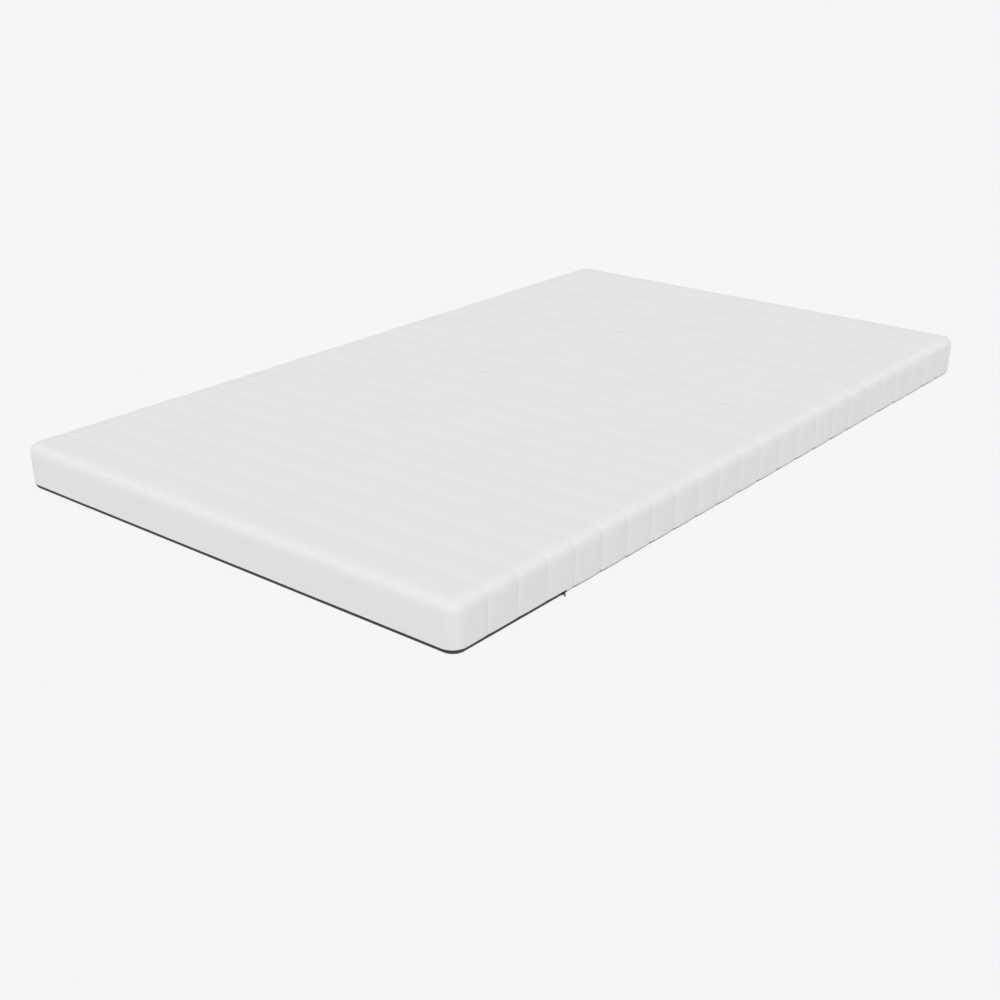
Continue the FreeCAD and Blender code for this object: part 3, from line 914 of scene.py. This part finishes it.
def sleeve_stitches():
    """Overlocked closing seam across each short end of the sleeve."""
    low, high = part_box("sleeve_closing_threads")
    pitch = 2.6 * MM
    x = np.arange(low.x + pitch, high.x, pitch)
    parts = []
    for side in (-1, 1):
        y = np.full(len(x), side * (sleeve_high.y + 0.05 * MM))
        rise = np.array([[0.5, 0, 0.85], [-0.5, 0, 0.85]])
        for number, shift in enumerate((-0.5 * pitch, 0.5 * pitch)):
            forward = np.broadcast_to(rise[number] / np.linalg.norm(rise[number]), (len(x), 3))
            centre = np.stack([x + shift / 2, y, np.full(len(x), (low.z + high.z) / 2)], axis=-1)
            out = np.broadcast_to(np.array([0.0, side, 0.0]), (len(x), 3))
            parts.append((centre, forward, out))
    centres, forwards, outs = (np.concatenate(part) for part in zip(*parts))
    return stitches(centres, forwards, outs, 2.8 * MM, 0.4 * MM, 0.3 * MM)


sleeve_thread = sleeve_stitches().build("sleeve_stitches", WHITE_THREAD)


# --- sewn seam of the base ---

binding_low, binding_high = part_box("seam_binding")
BINDING_INSET = HALF_WIDTH - binding_high.x
BINDING_WIDTH = 7 * MM
BINDING_STEP = 20 * MM


def folded_binding():
    """Tape folded over the seam allowance: two layers joined along the inner edge."""
    outline = Outline(BINDING_INSET)
    thick = 0.15 * MM
    low, high = binding_low.z, binding_high.z
    near, far = BINDING_INSET, BINDING_INSET + BINDING_WIDTH
    outer = [(near, low), (far, low), (far + 0.2 * MM, (low + high) / 2), (far, high), (near, high)]
    inner = [(near, high - thick), (far - 0.1 * MM, high - thick),
             (far - 0.1 * MM, low + thick), (near, low + thick)]
    section = np.array(outer + inner)
    net = Net()
    net.sweep(along(outline, outline.stretch(ZIP_END, BINDING_STEP / 4, sewn=True),
                    section[:, 0], section[:, 1]))
    return net.build("seam_tape", BINDING, sharp=40)


seam_binding = folded_binding()
seam_outline = Outline(BINDING_INSET + 2.2 * MM)
seam_thread = stitched_line(seam_outline, seam_outline.stretch(ZIP_END + 2 * MM, 3.2 * MM, sewn=True),
                            binding_high.z, 2.9 * MM, 0.4 * MM, 0.35 * MM, out="up")
seam_thread = seam_thread.build("seam_stitches", WHITE_THREAD)


# --- zip ---

tape_low, tape_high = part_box("zip_tape_upper")
TAPE_INSET = HALF_WIDTH - tape_high.x
TAPE_THICK = 0.5 * MM
TAPE_STEP = 4 * MM
zip_outline = Outline(TAPE_INSET)
zip_distances = zip_outline.stretch(ZIP_END - 0.2 * MM, TAPE_STEP)
tape_y = zip_outline.at(zip_distances)[0][:, 1] + zip_outline.at(zip_distances)[1][:, 1] * CORNER


def ribbon(name, centres, thick, draw=None):
    """Tape whose middle follows a list of (inset, height) points across its width."""
    centres = np.array(centres) * MM
    ahead = np.gradient(centres, axis=0)
    ahead /= np.linalg.norm(ahead, axis=1, keepdims=True)
    off = np.stack([-ahead[:, 1], ahead[:, 0]], axis=1) * thick / 2
    ends = centres[-1] + ahead[-1] * thick / 3, centres[0] - ahead[0] * thick / 3
    section = np.concatenate([centres + off, [ends[0]], (centres - off)[::-1], [ends[1]]])
    insets = np.broadcast_to(section[:, 0], (len(zip_distances), len(section)))
    heights = np.broadcast_to(section[:, 1], insets.shape)
    if draw is not None:
        insets = insets + quilting(tape_y, 1.0)[:, None] * draw(section[:, 1])
    rings = along(zip_outline, zip_distances, insets, heights)
    cloth = np.stack(np.broadcast_arrays(zip_distances[:, None], run_along(section)[None]), axis=-1)
    net = Net()
    net.sweep(rings, cloth)
    return net.build(name, ZIP_TAPE, sharp=60)


def tape_draw(height):
    """The upper tape follows the quilted hem it is sewn to, and the coil stays straight."""
    return HEM_SHARE * np.clip((height - ZIP_MIDDLE - 3 * MM) / (8 * MM), 0, 1)


middle_inset = (TAPE_INSET + TAPE_THICK / 2) / MM
upper_tape = ribbon("upper_zip_tape", [(middle_inset, z) for z in
                                       np.linspace(tape_low.z, tape_high.z, 6) / MM],
                    TAPE_THICK, tape_draw)
lower_tape = ribbon("lower_zip_tape", [(middle_inset, 6.2), (middle_inset + 0.1, 4.6),
                                       (middle_inset + 0.7, 3.0), (middle_inset + 1.9, 1.9),
                                       (middle_inset + 3.4, 1.4), (middle_inset + 5.5, 1.35),
                                       (middle_inset + 8.5, 1.35)], TAPE_THICK)


def coil(name, low, high, phase):
    """One coil: nylon wire wound round its cord, its loops reaching between the other's."""
    turn = 1.2 * MM
    wire = 0.27 * MM
    reach = 0.25 * MM
    corners = 8
    centre = (COIL_FACE + TAPE_INSET) / 2
    outline = Outline(centre)
    ends = outline.stretch(CHAIN_END - 0.4 * MM, TAPE_STEP)[[0, -1]]
    turns = int((ends[1] - ends[0]) / turn)
    count = np.arange(turns * corners)
    distance = ends[0] + (count / corners + phase) * turn
    angle = count * TURN / corners + math.pi / 4
    deep = (TAPE_INSET - COIL_FACE) / 2 - wire
    tall = (high - low) / 2 - wire
    across = squared(np.cos(angle), 0.6)
    up = squared(np.sin(angle), 0.8)
    toward = np.sign(ZIP_MIDDLE - (low + high) / 2)
    height = (low + high) / 2 + tall * up + reach * np.where(up * toward > 0.3, toward, 0)
    core, normal = outline.at(distance)
    centres = place(core, normal, centre - deep * across, height)
    outwards = outward(normal)
    forward = np.cross(UP, outwards)
    radial = outwards * np.cos(angle)[:, None] + UP * np.sin(angle)[:, None]
    ring = [centres + wire * side for side in (radial, forward, -radial, -forward)]
    net = Net()
    net.sweep(np.stack(ring, axis=1))
    return net.build(name, COIL_NYLON, sharp=100)


upper_coil = coil("upper_zip_coil", coil_low.z, coil_high.z, 0.0)
lower_coil = coil("lower_zip_coil", lower_coil_low.z, lower_coil_high.z, 0.5)


def core_cord(name, node):
    """Cord inside a coil, of three twisted strands."""
    low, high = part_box(node)
    inset = HALF_WIDTH - (high.x - (high.z - low.z) / 2)
    outline = Outline(inset)
    distances = outline.stretch(CHAIN_END - 0.2 * MM, 1.2 * MM)
    strand = (high.z - low.z) / 4.4
    angle = (np.arange(5) + 0.5) * TURN / 5
    net = Net()
    for number in range(3):
        twist = distances / (3.6 * MM) * TURN + number * TURN / 3
        insets = inset + strand * (np.cos(twist)[:, None] + np.cos(angle))
        heights = (low.z + high.z) / 2 + strand * (np.sin(twist)[:, None] + np.sin(angle))
        net.sweep(along(outline, distances, insets, heights))
    return net.build(name, CORD_YARN, sharp=80)


upper_cord = core_cord("upper_coil_cord", "zip_core_cord_upper")
lower_cord = core_cord("lower_coil_cord", "zip_core_cord_lower")


def tape_stitches(name, node, behind, out=None):
    """Stitches that hold a zip tape, centred behind the face of their thread's node."""
    low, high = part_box(node)
    outline = Outline(HALF_WIDTH - high.x + behind)
    height = low.z if out == "up" else (low.z + high.z) / 2
    line = stitched_line(outline, outline.stretch(ZIP_END - 2 * MM, 3.0 * MM), height,
                         2.7 * MM, 0.4 * MM, 0.3 * MM, out)
    return line.build(name, GREY_THREAD)


upper_thread = tape_stitches("upper_tape_stitches", "zip_thread_upper", 0.3 * MM)
lower_thread = tape_stitches("lower_tape_stitches", "zip_thread_lower", 0.2 * MM, out="up")


def bar_tacks():
    """Satin-stitched bar across each end of the zip."""
    turns = 13
    wraps = np.linspace(tack_low.z + 0.3 * MM, tack_high.z - 0.3 * MM, turns)
    depth = 1.2 * MM
    half_length = (ZIP_END - CHAIN_END) / 2
    angle = (np.arange(8) + 0.5) * TURN / 8
    net = Net()
    for side in (-1, 1):
        middle = np.array([side * (tack_high.x - depth / 2), (ZIP_END + CHAIN_END) / 2, 0])
        for number, height in enumerate(wraps):
            lean_over = 0.12 * MM * (-1) ** number
            points = []
            for end in np.linspace(-1, 1, 7):
                thick = math.sqrt(max(1 - end ** 4, 0.08))
                ring = middle + np.stack([
                    side * (depth / 2) * thick * np.cos(angle),
                    np.full(8, end * half_length),
                    height + end * lean_over + 0.27 * MM * thick * np.sin(angle)], axis=-1)
                points.append(ring if side > 0 else ring[::-1])
            net.sweep(np.array(points))
    return net.build("bar_tacks", GREY_THREAD, sharp=80)


end_tacks = bar_tacks()


def refined(name, node, voxel, passes):
    """The node's own shape with its edges softened, as a die casting has them."""
    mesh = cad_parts[node].data.copy()
    mesh.transform(Matrix.Scale(1 / MM, 4))
    piece = make_object(name, mesh, SLIDER_PAINT, sharp=180)
    remesh = piece.modifiers.new("even", "REMESH")
    remesh.mode = "VOXEL"
    remesh.voxel_size = voxel / MM
    soften = piece.modifiers.new("soften", "SMOOTH")
    soften.factor = 0.5
    soften.iterations = passes
    bpy.context.view_layer.update()
    shaped = piece.evaluated_get(bpy.context.evaluated_depsgraph_get())
    result = bpy.data.meshes.new_from_object(shaped)
    bpy.data.objects.remove(piece)
    result.transform(Matrix.Scale(MM, 4))
    return make_object(name, result, SLIDER_PAINT, sharp=180)


slider = refined("zip_slider", "zip_slider_body", 0.12 * MM, 4)
pull_tab = refined("zip_tab", "zip_pull_tab", 0.1 * MM, 2)


# --- what each piece is ---

def settle(piece, node, body="mattress"):
    """The piece stands for its CAD node and rides on its body."""
    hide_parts(node)
    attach(piece, body)


settle(white_ticking, "cover_top_ticking")
settle(quilt_thread, "quilting_threads")
settle(grey_ticking, "cover_base_ticking")
settle(wadding, "cover_wadding")
settle(backing, "cover_backing")
settle(core_sleeve, "core_sleeve")
settle(sleeve_thread, "sleeve_closing_threads")
settle(base_foam, "foam_base_core")
settle(memory_foam, "memory_foam_layer")
settle(seam_binding, "seam_binding")
settle(seam_thread, "seam_thread")
settle(upper_tape, "zip_tape_upper")
settle(lower_tape, "zip_tape_lower")
settle(upper_coil, "zip_coil_upper")
settle(lower_coil, "zip_coil_lower")
settle(upper_cord, "zip_core_cord_upper")
settle(lower_cord, "zip_core_cord_lower")
settle(upper_thread, "zip_thread_upper")
settle(lower_thread, "zip_thread_lower")
settle(end_tacks, "zip_end_tacks")
settle(slider, "zip_slider_body", "zip_slider")
settle(pull_tab, "zip_pull_tab", "pull_tab")

binding_outline = Outline(BINDING_INSET)
binding_length = binding_outline.stretch(ZIP_END, BINDING_STEP, sewn=True)
binding_length = float(binding_length[-1] - binding_length[0])


# --- floor, light and camera ---

FLOOR_REACH = 60
FLOOR_DROP = 0.2 * MM           # keeps the floor just under the base
FLOOR_GLOW = 0.902
SURROUNDINGS = 0.57
KEY_STRENGTH = 1.58
KEY_FROM = (0.150, -0.203, 0.435)
KEY_SPREAD = 40                 # degrees
CAMERA_PLACE = (1.9928, -2.5905, 1.1782)
CAMERA_DOWN = 0.3986            # radians below level
CAMERA_ROUND = 0.6840           # and round from facing along Y
CAMERA_LENS = 52.36


def pale_floor():
    """Large pale floor that gives most of its own light, so that the ground stays even."""
    mesh = bpy.data.meshes.new("floor")
    corners = [(x * FLOOR_REACH, y * FLOOR_REACH, 0) for x, y in ((-1, -1), (1, -1), (1, 1), (-1, 1))]
    mesh.from_pydata(corners, [], [(0, 1, 2, 3)])
    material = bpy.data.materials.new("pale_floor")
    material.use_nodes = True
    surface = material.node_tree.nodes["Principled BSDF"]
    surface.inputs["Base Color"].default_value = (0.02, 0.02, 0.02, 1)
    surface.inputs["Specular IOR Level"].default_value = 0
    surface.inputs["Roughness"].default_value = 1
    surface.inputs["Emission Color"].default_value = (1, 1, 1, 1)
    surface.inputs["Emission Strength"].default_value = FLOOR_GLOW
    mesh.materials.append(material)
    floor = link("floor", mesh)
    floor.location.z = -FLOOR_DROP


def studio_light():
    """Even white surroundings and one large soft light, high and to the near right."""
    world = bpy.data.worlds.new("studio")
    world.use_nodes = True
    background = world.node_tree.nodes["Background"]
    background.inputs["Color"].default_value = (1, 1, 1, 1)
    background.inputs["Strength"].default_value = SURROUNDINGS
    scene.world = world
    light = bpy.data.lights.new("soft_key", "SUN")
    light.energy = KEY_STRENGTH
    light.angle = math.radians(KEY_SPREAD)
    lamp = link("soft_key", light)
    lamp.rotation_euler = Vector(KEY_FROM).to_track_quat("Z", "Y").to_euler()


def camera():
    """View from above the near right corner."""
    lens = bpy.data.cameras.new("camera")
    lens.lens = CAMERA_LENS
    lens.sensor_width = 36
    lens.clip_start = 0.01
    view = link("camera", lens)
    view.location = CAMERA_PLACE
    view.rotation_euler = (math.pi / 2 - CAMERA_DOWN, 0, CAMERA_ROUND)
    scene.camera = view


pale_floor()
studio_light()
camera()
scene.view_settings.view_transform = "Standard"
